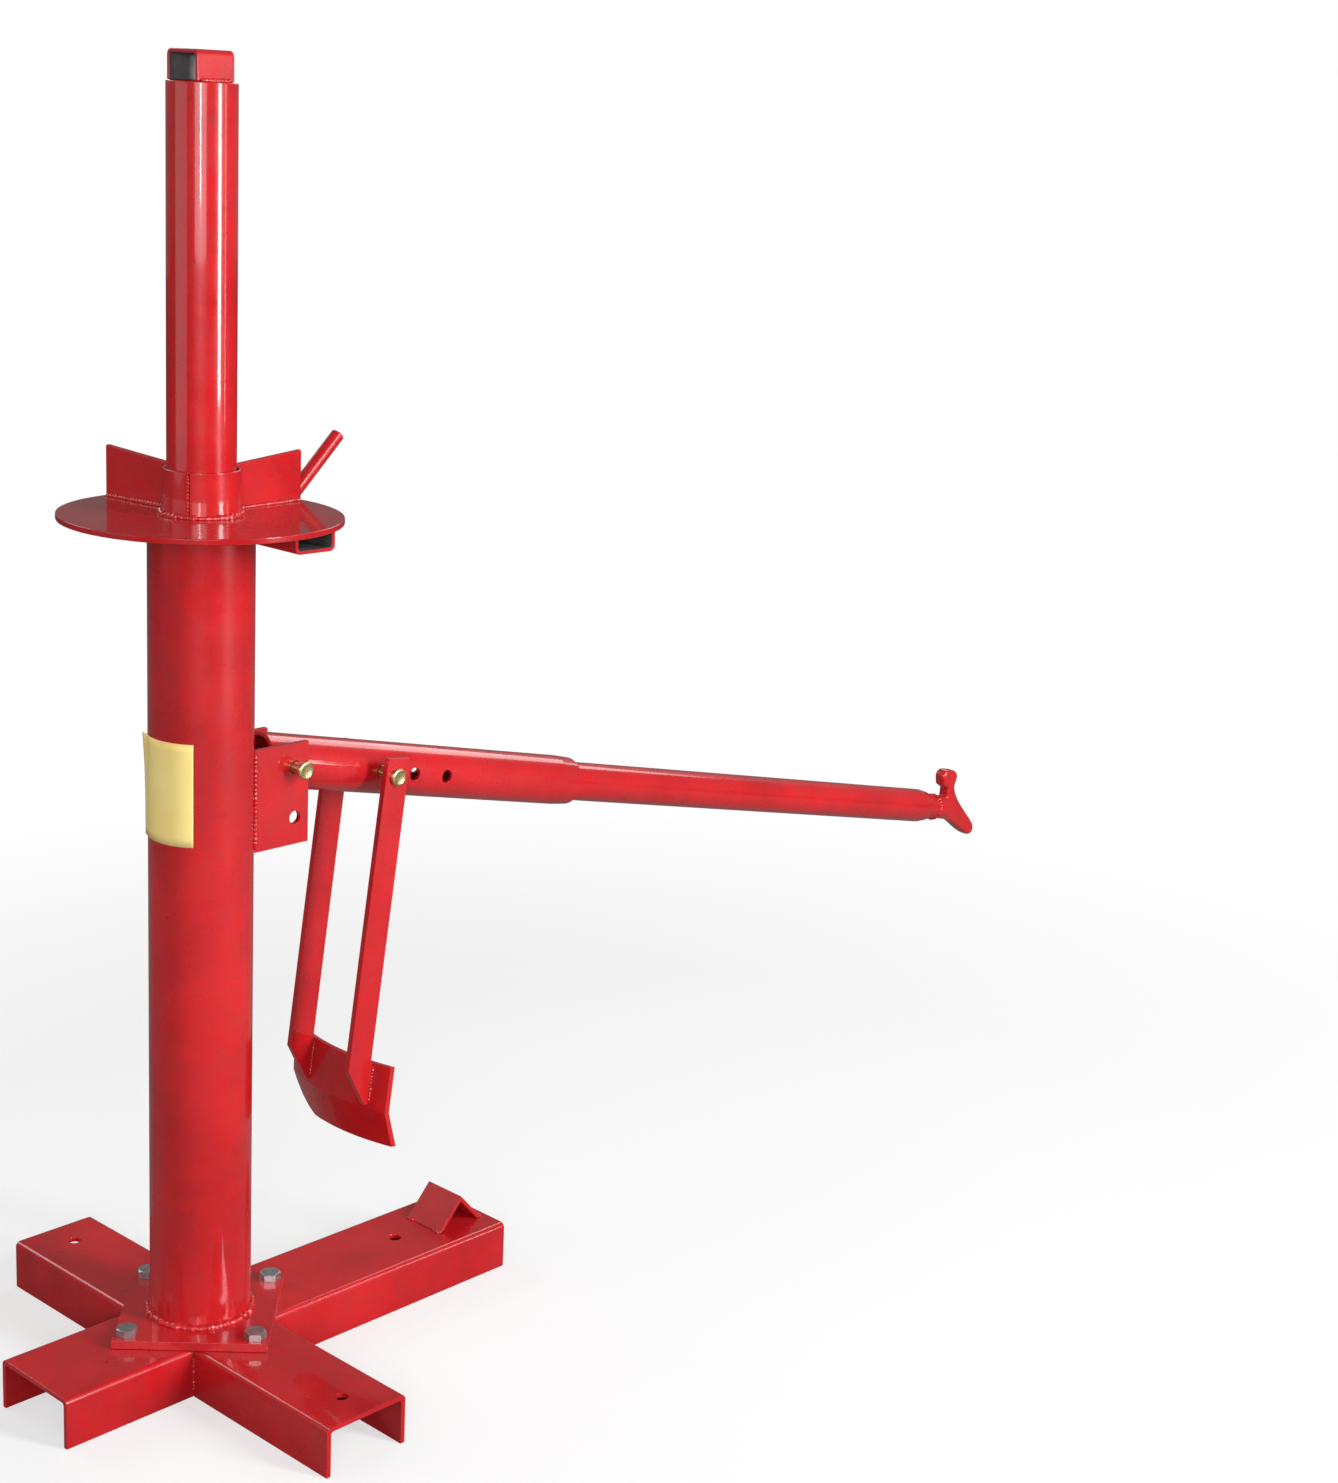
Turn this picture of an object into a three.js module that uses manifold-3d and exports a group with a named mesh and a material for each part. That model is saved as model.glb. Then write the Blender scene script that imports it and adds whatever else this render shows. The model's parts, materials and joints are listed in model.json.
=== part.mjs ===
// Hand-operated bead breaker: a cross-shaped base, a tall column with a wheel-rest disc and mast,
// a long lever on a bracket, and a swinging shoe. Millimetres, +Z up, the lever points along +X.
import * as THREE from "three";
import { mergeVertices } from "three/addons/utils/BufferGeometryUtils.js";
import Module from "manifold-3d";

const wasm = await Module();
wasm.setup();

// ---- driving dimensions ----
const GAP = 0.3; // clearance left between pieces that touch
const CUT = 1; // how far a cutter runs past the face it opens

const LEG_HEIGHT = 46;
const LEG_WALL = 4.5;
const LEG_BEND = 5; // outer radius of the folded corners
const LONG_LEG = { width: 96, back: -174, front: 332 };
const CROSS_LEG = { width: 86, reach: 229 };
const ANCHOR_HOLE = { radius: 6, crossAt: 196, longAt: 231 };

const BASE_PLATE = { side: 136, thick: 8 };
const BOLT = { radius: 4.7, hole: 5.5, circle: 79, flats: 17, head: 6.6, nut: 8, length: 27 };

const COLUMN = { radius: 44.5, wall: 4 };
const DISC = { radius: 117.5, thick: 5, top: 774 };
const MAST = { radius: 28.6, wall: 3.2, top: 1119 };
const COLLAR = { wall: 2.6, height: 38, seam: 3, seamAngle: -147, rise: 1.6 }; // seam in degrees
const TURN = 6.5; // degrees the disc's fittings are turned from the base legs
const FIN = { thick: 5, reach: 114, inner: 38, outer: 44 };
const MAST_CAP = { thick: 3 };
const SOCKET = { length: 36, width: 40, height: 24, wall: 3.2, bend: 5, setBack: 1.5 };

const GUIDE = { width: 41, height: 15.6, wall: 3, bend: 5, centre: 38.5, reach: 100 };
const LOCK_PIN = { radius: 6, inner: 62, bend: 94, tip: 171, rise: 67, offset: 10, notch: 88 };
const KEEPER = { radius: 10.9, bore: 6.6, start: 61, end: 84 };

const PIVOT = { x: 77, z: 550.5 };
const BRACKET = { thick: 5, inside: 25.6, right: 91.5, bottom: 481.5, top: 572, spareDrop: 45 };
const LEVER_DROP = 12.6; // degrees below level in the rest pose
const SLEEVE = { radius: 24, wall: 3.4, heel: 27.4, crown: 18.6, end: 352, neck: 20 };
const CROSS_HOLES = { radius: 6, first: 107.6, step: 40.5, count: 3 };
const TYRE_BAR = { radius: 19, wall: 2.5, start: 232, end: 974, neck: 14 };
const BAR_TUBE = { radius: 14, wall: 2.6, start: 690, end: 1008 };
const BAR_HEAD = { width: 15, bevel: 4, shank: 26 };
const PIN = { radius: 5.4, head: 8, headThick: 3.5 };
const CLIP_WIRE = 1.2;

const SHOE_BAR = { width: 26, thick: 6, inside: 38, above: 17, tilt: 7.9 };
const BLADE = { thick: 5, curve: 180, near: -62, far: 80, top: 268, crease: 312, bottom: 346 };
const CHOCK = { x: 295.5, half: 27.8, height: 31, wall: 4, length: 47 };
const LABEL = { thick: 0.4, bottom: 499, top: 588, from: 144.5, to: 224.8 };

const UP = new THREE.Vector3(0, 0, 1);
const ALONG_X = new THREE.Vector3(1, 0, 0);
const ALONG_Y = new THREE.Vector3(0, 1, 0);

// ---- materials ----
const finish = (color, roughness, metalness) => ({ color, roughness, metalness });
const RED = finish(0xc41e20, 0.3, 0.1);
const ZINC = finish(0x9a9c9e, 0.38, 0.9);
const YELLOW_ZINC = finish(0xb9a468, 0.36, 0.85);
const CREAM = finish(0xf0d88c, 0.55, 0);

// ---- helpers ----
const root = new THREE.Group();
root.name = "bead_breaker";

function addMesh(parent, name, geometry, look) {
  const mesh = new THREE.Mesh(geometry, new THREE.MeshStandardMaterial(look));
  mesh.name = name;
  parent.add(mesh);
  return mesh;
}

function toSolid(geometry) {
  const flat = geometry.index ? geometry.toNonIndexed() : geometry;
  const bare = new THREE.BufferGeometry().setAttribute("position", flat.getAttribute("position"));
  const merged = mergeVertices(bare, 1e-3);
  return new wasm.Manifold(
    new wasm.Mesh({
      numProp: 3,
      vertProperties: merged.attributes.position.array,
      triVerts: new Uint32Array(merged.index.array),
    }),
  );
}

function toGeometry(solid) {
  const mesh = solid.getMesh();
  const indexed = new THREE.BufferGeometry();
  indexed.setAttribute("position", new THREE.BufferAttribute(mesh.vertProperties, 3));
  indexed.setIndex(new THREE.BufferAttribute(mesh.triVerts, 1));
  const geometry = indexed.toNonIndexed();
  geometry.computeVertexNormals();
  return geometry;
}

function carve(geometry, ...cutters) {
  const body = cutters.reduce((solid, cutter) => solid.subtract(toSolid(cutter)), toSolid(geometry));
  return toGeometry(body);
}

// Lays a geometry's own x and y axes along two directions and moves it to an origin.
function lay(geometry, xAxis, yAxis, origin = new THREE.Vector3()) {
  const zAxis = new THREE.Vector3().crossVectors(xAxis, yAxis);
  const matrix = new THREE.Matrix4().makeBasis(xAxis, yAxis, zAxis).setPosition(origin);
  return geometry.applyMatrix4(matrix);
}

function rod(radius, length, axis, start, segments = 32) {
  const geometry = new THREE.CylinderGeometry(radius, radius, length, segments);
  geometry.translate(0, length / 2, 0);
  const turn = new THREE.Quaternion().setFromUnitVectors(ALONG_Y, axis);
  geometry.applyQuaternion(turn);
  return geometry.translate(...start);
}

function tube(radius, wall, length, axis, start, segments = 48) {
  const inner = radius - wall;
  const profile = [
    [inner, 0],
    [radius, 0],
    [radius, length],
    [inner, length],
    [inner, 0],
  ];
  return turned(profile, axis, start, segments);
}

// Revolves a closed profile of [radius, distance along the axis] pairs.
function turned(profile, axis, start, segments = 48) {
  const points = profile.map(([r, along]) => new THREE.Vector2(r, along));
  const geometry = new THREE.LatheGeometry(points, segments);
  geometry.applyQuaternion(new THREE.Quaternion().setFromUnitVectors(ALONG_Y, axis));
  return geometry.translate(...start);
}

function prism(points, depth) {
  const shape = Array.isArray(points)
    ? new THREE.Shape(points.map(([x, y]) => new THREE.Vector2(x, y)))
    : points;
  return new THREE.ExtrudeGeometry(shape, { depth, bevelEnabled: false, curveSegments: 5 });
}

// A plate drawn in the X-Z plane, with its thickness running from y to y + thick.
function uprightPlate(points, thick, y) {
  return lay(prism(points, thick), ALONG_X, UP, new THREE.Vector3(0, y + thick, 0));
}

// A folded U section, open at the bottom, with rounded outer and inner corners.
function channelShape(width, height, wall, bend) {
  const half = width / 2;
  const inner = Math.max(bend - wall, 2.5);
  const side = half - wall;
  const roof = height - wall;
  const shape = new THREE.Shape();
  shape.moveTo(half, 0);
  shape.lineTo(half, height - bend);
  shape.absarc(half - bend, height - bend, bend, 0, Math.PI / 2, false);
  shape.absarc(bend - half, height - bend, bend, Math.PI / 2, Math.PI, false);
  shape.lineTo(-half, 0);
  shape.lineTo(-side, 0);
  shape.absarc(inner - side, roof - inner, inner, Math.PI, Math.PI / 2, true);
  shape.absarc(side - inner, roof - inner, inner, Math.PI / 2, 0, true);
  shape.lineTo(side, 0);
  return shape;
}

function hexagon(flats) {
  const corner = flats / Math.sqrt(3);
  return Array.from({ length: 6 }, (_, i) => [
    corner * Math.cos((i * Math.PI) / 3),
    corner * Math.sin((i * Math.PI) / 3),
  ]);
}

// ---- base ----
const plateBottom = LEG_HEIGHT + GAP;
const plateTop = plateBottom + BASE_PLATE.thick;
const boltPlaces = [
  [BOLT.circle, 0],
  [0, BOLT.circle],
  [-BOLT.circle, 0],
  [0, -BOLT.circle],
];

function webHole(radius, x, y) {
  return rod(radius, LEG_HEIGHT + CUT, UP, [x, y, LEG_BEND + 2], 24);
}

function longLeg() {
  const length = LONG_LEG.front - LONG_LEG.back;
  const section = channelShape(LONG_LEG.width, LEG_HEIGHT, LEG_WALL, LEG_BEND);
  const leg = lay(prism(section, length), ALONG_Y, UP, new THREE.Vector3(LONG_LEG.back, 0, 0));
  return carve(
    leg,
    webHole(BOLT.hole, BOLT.circle, 0),
    webHole(BOLT.hole, -BOLT.circle, 0),
    webHole(ANCHOR_HOLE.radius, ANCHOR_HOLE.longAt, 0),
  );
}

// One cross leg butts against the long leg on its side, +1 for +Y and -1 for -Y.
function crossLeg(side) {
  const inner = LONG_LEG.width / 2 + GAP;
  const length = CROSS_LEG.reach - inner;
  const start = side > 0 ? inner : -CROSS_LEG.reach;
  const section = channelShape(CROSS_LEG.width, LEG_HEIGHT, LEG_WALL, LEG_BEND);
  const backwards = ALONG_X.clone().negate();
  const leg = lay(prism(section, length), backwards, UP, new THREE.Vector3(0, start, 0));
  return carve(
    leg,
    webHole(BOLT.hole, 0, side * BOLT.circle),
    webHole(ANCHOR_HOLE.radius, 0, side * ANCHOR_HOLE.crossAt),
  );
}

function basePlate() {
  const half = BASE_PLATE.side / 2;
  const square = [
    [half, half],
    [-half, half],
    [-half, -half],
    [half, -half],
  ];
  const plate = prism(square, BASE_PLATE.thick).rotateZ(Math.PI / 4).translate(0, 0, plateBottom);
  const holes = boltPlaces.map(([x, y]) =>
    rod(BOLT.hole, BASE_PLATE.thick + 2 * CUT, UP, [x, y, plateBottom - CUT], 24),
  );
  return carve(plate, ...holes);
}

function hexBolt(x, y, turn) {
  const head = prism(hexagon(BOLT.flats), BOLT.head).rotateZ(turn);
  head.translate(x, y, plateTop + GAP);
  const shank = rod(BOLT.radius, BOLT.length + 1, UP, [x, y, plateTop + GAP - BOLT.length], 20);
  return toGeometry(toSolid(head).add(toSolid(shank)));
}

function hexNut(x, y, turn) {
  const top = LEG_HEIGHT - LEG_WALL - GAP;
  const nut = prism(hexagon(BOLT.flats), BOLT.nut).rotateZ(turn).translate(x, y, top - BOLT.nut);
  return carve(nut, rod(BOLT.radius + GAP, BOLT.nut + 2 * CUT, UP, [x, y, top - BOLT.nut - CUT], 20));
}

function wheelChock() {
  const { half, height, wall } = CHOCK;
  const slope = Math.hypot(half, height);
  const down = (wall * slope) / half; // the same wall, measured straight down
  const across = (wall * slope) / height; // and measured level
  const tent = [
    [-half, 0],
    [across - half, 0],
    [0, height - down],
    [half - across, 0],
    [half, 0],
    [0, height],
  ];
  const angle = uprightPlate(tent.reverse(), CHOCK.length, -CHOCK.length / 2);
  return angle.translate(CHOCK.x, 0, LEG_HEIGHT + GAP);
}

function buildBase() {
  addMesh(root, "base_long_channel", longLeg(), RED);
  addMesh(root, "base_cross_channel_left", crossLeg(1), RED);
  addMesh(root, "base_cross_channel_right", crossLeg(-1), RED);
  addMesh(root, "base_plate", basePlate(), RED);
  boltPlaces.forEach(([x, y], i) => {
    const turn = 0.35 + 0.7 * i; // each was tightened to its own angle
    addMesh(root, `base_bolt_${i + 1}`, hexBolt(x, y, turn), ZINC);
    addMesh(root, `base_nut_${i + 1}`, hexNut(x, y, turn + 0.3), ZINC);
  });
  addMesh(root, "wheel_chock_angle", wheelChock(), RED);
}

// ---- column, disc and mast ----
const discBottom = DISC.top - DISC.thick;
const discTop = DISC.top + GAP;
const collarRadius = MAST.radius + GAP + COLLAR.wall;

// A group for what stands on the disc, turned by so many degrees from the base legs.
function turnedGroup(degrees) {
  const group = new THREE.Group();
  group.rotation.z = THREE.MathUtils.degToRad(degrees);
  root.add(group);
  return group;
}

function wheelRestDisc() {
  const disc = rod(DISC.radius, DISC.thick, UP, [0, 0, discBottom], 96);
  const length = DISC.radius - LOCK_PIN.notch + CUT;
  const notch = new THREE.BoxGeometry(length, 2 * LOCK_PIN.radius + 5, 4 * DISC.thick);
  notch.translate(LOCK_PIN.notch + length / 2, LOCK_PIN.offset, DISC.top);
  notch.rotateZ(THREE.MathUtils.degToRad(TURN));
  return carve(disc, notch);
}

// The guide is a U section open at the top, and its inner end is scribed round the column.
function pinGuide() {
  const section = channelShape(GUIDE.width, GUIDE.height, GUIDE.wall, GUIDE.bend);
  const length = GUIDE.reach - 10;
  const start = new THREE.Vector3(GUIDE.centre, -GUIDE.reach, discBottom - GAP);
  const down = UP.clone().negate();
  const guide = lay(prism(section, length), ALONG_X, down, start);
  const column = rod(COLUMN.radius + GAP, 60, UP, [0, 0, discBottom - 40], 64);
  return carve(guide, column);
}

// A strip rolled once round the mast; the end at the seam's right stands a little proud.
function mastCollar() {
  const inner = MAST.radius + GAP;
  const steps = 60;
  const spiral = (offset) =>
    Array.from({ length: steps + 1 }, (_, i) => {
      const share = i / steps;
      const angle = THREE.MathUtils.degToRad(COLLAR.seamAngle + COLLAR.seam + share * (360 - COLLAR.seam));
      const radius = inner + offset + COLLAR.rise * (1 - share);
      return [radius * Math.cos(angle), radius * Math.sin(angle)];
    });
  const outline = [...spiral(COLLAR.wall), ...spiral(0).reverse()];
  return prism(outline, COLLAR.height).translate(0, 0, discTop);
}

function fin() {
  const inner = collarRadius + COLLAR.rise + GAP;
  const outline = [
    [inner, discTop],
    [FIN.reach, discTop],
    [FIN.reach, DISC.top + FIN.outer],
    [inner, DISC.top + FIN.inner],
  ];
  return uprightPlate(outline, FIN.thick, -FIN.thick / 2);
}

// A short bent bridge standing on the mast's end, open along X.
function mastSocket() {
  const { length, width, height, wall, bend, setBack } = SOCKET;
  const start = new THREE.Vector3(-length / 2 - setBack, 0, MAST.top + GAP);
  return lay(prism(channelShape(width, height, wall, bend), length), ALONG_Y, UP, start);
}

// A disc closing the mast's bore, level with its end.
function mastCap() {
  const radius = MAST.radius - MAST.wall - GAP;
  return rod(radius, MAST_CAP.thick, UP, [0, 0, MAST.top - MAST_CAP.thick], 48);
}

// Bent rod: a level foot in the keeper, then a handle rising past the rim.
function lockPin() {
  const level = discBottom - GAP - KEEPER.radius;
  const points = [
    [LOCK_PIN.inner, level],
    [LOCK_PIN.bend - 8, level],
    [LOCK_PIN.bend, level + 1.6],
    [LOCK_PIN.bend + 6, level + 6],
    [LOCK_PIN.tip, level + LOCK_PIN.rise],
  ].map(([x, z]) => new THREE.Vector3(x, LOCK_PIN.offset, z));
  const path = new THREE.CatmullRomCurve3(points, false, "centripetal");
  return sweptRod(path, LOCK_PIN.radius, 24);
}

function sweptRod(path, radius, steps, sides = 16) {
  const section = new THREE.Shape();
  section.absarc(0, 0, radius, 0, Math.PI * 2, false);
  const options = { steps, extrudePath: path, bevelEnabled: false, curveSegments: sides };
  return new THREE.ExtrudeGeometry(section, options);
}

function lockPinKeeper() {
  const level = discBottom - GAP - KEEPER.radius;
  const wall = KEEPER.radius - KEEPER.bore;
  const start = [KEEPER.start, LOCK_PIN.offset, level];
  return tube(KEEPER.radius, wall, KEEPER.end - KEEPER.start, ALONG_X, start, 32);
}

function label() {
  const inner = COLUMN.radius + GAP;
  const outer = inner + LABEL.thick;
  const from = THREE.MathUtils.degToRad(LABEL.from);
  const to = THREE.MathUtils.degToRad(LABEL.to);
  const shape = new THREE.Shape();
  shape.absarc(0, 0, outer, from, to, false);
  shape.absarc(0, 0, inner, to, from, true);
  const options = { depth: LABEL.top - LABEL.bottom, bevelEnabled: false, curveSegments: 14 };
  return new THREE.ExtrudeGeometry(shape, options).translate(0, 0, LABEL.bottom);
}

function buildColumn() {
  const height = discBottom - plateTop - 2 * GAP;
  const columnStart = [0, 0, plateTop + GAP];
  addMesh(root, "column_tube", tube(COLUMN.radius, COLUMN.wall, height, UP, columnStart, 64), RED);
  addMesh(root, "wheel_rest_disc", wheelRestDisc(), RED);
  addMesh(root, "pin_guide_channel", pinGuide(), RED);
  addMesh(root, "mast_collar", mastCollar(), RED);
  const mastLength = MAST.top - discTop - GAP;
  addMesh(root, "mast_tube", tube(MAST.radius, MAST.wall, mastLength, UP, [0, 0, discTop]), RED);
  addMesh(root, "mast_cap", mastCap(), RED);
  addMesh(root, "mast_top_socket", mastSocket(), RED);
  const fittings = turnedGroup(TURN);
  addMesh(fittings, "fin_right", fin(), RED);
  addMesh(fittings, "locking_pin", lockPin(), RED);
  addMesh(fittings, "locking_pin_keeper", lockPinKeeper(), RED);
  addMesh(turnedGroup(TURN + 90), "fin_left", fin(), RED);
  addMesh(root, "column_label", label(), CREAM);
}

// ---- lever ----
const shoePinAt = CROSS_HOLES.first;

function bracketPlate(side) {
  const outline = [
    [COLUMN.radius * 0.5, BRACKET.bottom],
    [BRACKET.right, BRACKET.bottom],
    [BRACKET.right, BRACKET.top],
    [COLUMN.radius * 0.5, BRACKET.top],
  ];
  const y = side > 0 ? BRACKET.inside : -BRACKET.inside - BRACKET.thick;
  const plate = uprightPlate(outline, BRACKET.thick, y);
  const column = rod(COLUMN.radius + GAP, 200, UP, [0, 0, BRACKET.bottom - 50], 64);
  const holes = [PIVOT.z, PIVOT.z - BRACKET.spareDrop].map((z) =>
    rod(CROSS_HOLES.radius, 3 * BRACKET.thick, ALONG_Y, [PIVOT.x, y - BRACKET.thick, z], 24),
  );
  return carve(plate, column, ...holes);
}

// Everything on the lever is drawn level, with the pivot at the origin.
function leverGroup() {
  const group = new THREE.Group();
  group.position.set(PIVOT.x, 0, PIVOT.z);
  group.rotation.y = THREE.MathUtils.degToRad(LEVER_DROP);
  root.add(group);
  return group;
}

function crossHole(at, reach) {
  return rod(CROSS_HOLES.radius, 2 * reach, ALONG_Y, [at, -reach, 0], 24);
}

// The rear end is mitred so that its crown clears the column as the lever rises.
function leverSleeve() {
  const { radius, wall, heel, crown, end, neck } = SLEEVE;
  const bore = radius - wall;
  const mouth = TYRE_BAR.radius + 0.6;
  const profile = [
    [bore, -heel],
    [radius, -heel],
    [radius, end],
    [mouth + wall, end + neck],
    [mouth, end + neck],
    [bore, end],
    [bore, -heel],
  ];
  const sleeve = turned(profile, ALONG_X, [0, 0, 0]);
  const mitre = [
    [-heel - 20, -radius - 5],
    [-heel, -radius],
    [-crown, radius],
    [-crown, radius + 10],
    [-heel - 20, radius + 10],
  ];
  const holes = Array.from({ length: CROSS_HOLES.count }, (_, i) =>
    crossHole(shoePinAt + i * CROSS_HOLES.step, radius + CUT),
  );
  const cutter = uprightPlate(mitre, 2 * radius + 4, -radius - 2);
  return carve(sleeve, cutter, crossHole(0, radius + CUT), ...holes);
}

// A tube drawn in at its outer end to guide the tube inside it.
function neckedTube({ radius, wall, start, end, neck }, mouth) {
  const bore = radius - wall;
  const profile = [
    [bore, start],
    [radius, start],
    [radius, end],
    [mouth + wall, end + neck],
    [mouth, end + neck],
    [bore, end],
    [bore, start],
  ];
  return turned(profile, ALONG_X, [0, 0, 0], 40);
}

// Duck-head end for levering tyres over a rim, drawn in the lever's own X-Z plane.
function barHead() {
  const back = BAR_TUBE.end + GAP + BAR_HEAD.bevel;
  const shape = new THREE.Shape();
  shape.moveTo(back, -9);
  shape.lineTo(1040, -10);
  shape.bezierCurveTo(1056, -14, 1072, -24, 1086, -26);
  shape.quadraticCurveTo(1093, -26, 1089, -19);
  shape.bezierCurveTo(1076, -8, 1042, 6, 1033, 26);
  shape.lineTo(1035, 37);
  shape.quadraticCurveTo(1035, 42, 1028, 42);
  shape.lineTo(1019, 42);
  shape.quadraticCurveTo(1014, 42, 1014, 37);
  shape.lineTo(1017, 30);
  shape.lineTo(1028, 26);
  shape.lineTo(1030, 10);
  shape.lineTo(back, 9);
  const flat = BAR_HEAD.width - 2 * BAR_HEAD.bevel;
  const bevel = { bevelEnabled: true, bevelSize: BAR_HEAD.bevel, bevelThickness: BAR_HEAD.bevel };
  const options = { depth: flat, curveSegments: 6, bevelSegments: 3, ...bevel };
  const hook = new THREE.ExtrudeGeometry(shape, options);
  lay(hook, ALONG_X, UP, new THREE.Vector3(0, flat / 2, 0));
  const shank = rod(BAR_TUBE.radius - 1, BAR_HEAD.shank, ALONG_X, [BAR_TUBE.end + GAP, 0, 0], 28);
  return toGeometry(toSolid(hook).add(toSolid(shank)));
}

// A headed pin along Y; its clip sits through the far end.
function headedPin(near, far) {
  const shank = rod(PIN.radius, far - near + 1, ALONG_Y, [0, near - 1, 0], 24);
  const head = rod(PIN.head, PIN.headThick, ALONG_Y, [0, near - PIN.headThick, 0], 28);
  const pin = toSolid(shank).add(toSolid(head));
  const hole = rod(CLIP_WIRE + 3 * GAP, 4 * PIN.radius, UP, [0, far - 6, -2 * PIN.radius], 12);
  return toGeometry(pin.subtract(toSolid(hole)));
}

// R-shaped spring clip hanging in the pin's hole by one leg, the other sprung round the outside.
function springClip(far) {
  const y = far - 6;
  const over = PIN.radius + CLIP_WIRE + 3 * GAP;
  const points = [
    [0, y, 14],
    [0, y, 0],
    [0, y, -14],
    [2, y, -22],
    [9, y, -26],
    [15, y, -21],
    [12, y, -13],
    [over, y, -7],
    [over + 1.2, y, 0],
    [over, y, 6],
    [over + 3, y, 14],
  ].map(([x, py, z]) => new THREE.Vector3(x, py, z));
  return sweptRod(new THREE.CatmullRomCurve3(points, false, "centripetal"), CLIP_WIRE, 40, 5);
}

function buildLever() {
  addMesh(root, "bracket_plate_left", bracketPlate(1), RED);
  addMesh(root, "bracket_plate_right", bracketPlate(-1), RED);
  const pivotEnds = [-BRACKET.inside - 17, BRACKET.inside + 22];
  const pivot = new THREE.Group();
  pivot.position.set(PIVOT.x, 0, PIVOT.z);
  root.add(pivot);
  addMesh(pivot, "lever_pin", headedPin(...pivotEnds), YELLOW_ZINC);
  addMesh(pivot, "lever_pin_clip", springClip(pivotEnds[1]), ZINC);

  const lever = leverGroup();
  addMesh(lever, "lever_sleeve", leverSleeve(), RED);
  addMesh(lever, "tyre_bar_tube", neckedTube(TYRE_BAR, BAR_TUBE.radius + 0.5), RED);
  const { radius, wall, start, end } = BAR_TUBE;
  const extension = tube(radius, wall, end - start, ALONG_X, [start, 0, 0], 32);
  addMesh(lever, "bar_extension_tube", extension, RED);
  addMesh(lever, "bar_head", barHead(), RED);
}

// ---- shoe ----
// Drawn hanging straight down from its pin at the origin, then tilted under the lever.
const shoe = new THREE.Group();

// The curved blade's own surface of revolution; its middle lies on the bars' outer edge.
function bladeRing(thick, grow) {
  const { curve, top, crease, bottom } = BLADE;
  const face = [
    [curve + grow, grow - top],
    [curve + grow, -crease],
    [curve - 13 + grow, -bottom - grow],
  ];
  const back = face.map(([r, z]) => [r - thick - 2 * grow, z]);
  const profile = [...back, ...face.reverse(), back[0]];
  const ring = turned(profile, UP, [0, 0, 0], 120);
  return ring.translate(curve + SHOE_BAR.width / 2 - 3, 0, 0);
}

function shoeBlade() {
  const { near, far, top, bottom } = BLADE;
  const corner = 46;
  const outline = new THREE.Shape();
  outline.moveTo(near, -bottom - 8);
  outline.lineTo(far - corner, -bottom - 2);
  outline.quadraticCurveTo(far - 6, -bottom + 12, far, -bottom + corner);
  outline.lineTo(far, -top + 6);
  outline.lineTo(near, -top + 6);
  const window = lay(prism(outline, 80), ALONG_Y, UP, new THREE.Vector3(-10, 0, 0));
  const blade = toSolid(bladeRing(BLADE.thick, 0));
  return toGeometry(blade.intersect(toSolid(window)));
}

// The bar's foot is cut on the slant and lies along the blade's column side.
function shoeBar(side) {
  const { width, thick, inside, above } = SHOE_BAR;
  const half = width / 2;
  const outline = [
    [-half, above],
    [-half, -BLADE.top - 6],
    [half - 2, -BLADE.crease + 4],
    [half + 8, -BLADE.crease + 4],
    [half + 8, -BLADE.top],
    [half, -BLADE.top],
    [half, above],
  ];
  const y = side > 0 ? inside : -inside - thick;
  const bar = uprightPlate(outline.reverse(), thick, y);
  const hole = rod(CROSS_HOLES.radius, 3 * thick, ALONG_Y, [0, y - thick, 0], 24);
  return carve(bar, hole, bladeRing(BLADE.thick + 20, GAP));
}

function buildShoe() {
  const drop = THREE.MathUtils.degToRad(LEVER_DROP);
  const x = PIVOT.x + shoePinAt * Math.cos(drop);
  const z = PIVOT.z - shoePinAt * Math.sin(drop);
  shoe.position.set(x, 0, z);
  shoe.rotation.y = THREE.MathUtils.degToRad(SHOE_BAR.tilt);
  root.add(shoe);
  addMesh(shoe, "shoe_bar_left", shoeBar(1), RED);
  addMesh(shoe, "shoe_bar_right", shoeBar(-1), RED);
  addMesh(shoe, "shoe_blade", shoeBlade(), RED);
  const outside = SHOE_BAR.inside + SHOE_BAR.thick + GAP;
  const pin = addMesh(shoe, "shoe_pin", headedPin(-outside, outside + 14), YELLOW_ZINC);
  const clip = addMesh(shoe, "shoe_pin_clip", springClip(outside + 14), ZINC);
  pin.rotation.y = -shoe.rotation.y;
  clip.rotation.y = -shoe.rotation.y;
}

buildBase();
buildColumn();
buildLever();
buildShoe();

// The part's origin is the middle of its footprint, on the floor.
root.updateMatrixWorld(true);
const box = new THREE.Box3().setFromObject(root, true);
root.position.set(-(box.min.x + box.max.x) / 2, -(box.min.y + box.max.y) / 2, 0);

export default root;
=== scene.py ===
"""Looks for the bead breaker: glossy red enamel over welded steel, zinc fasteners and a plain label."""
import json
import math
import random

import bmesh
import bpy
from mathutils import Matrix, Vector


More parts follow.
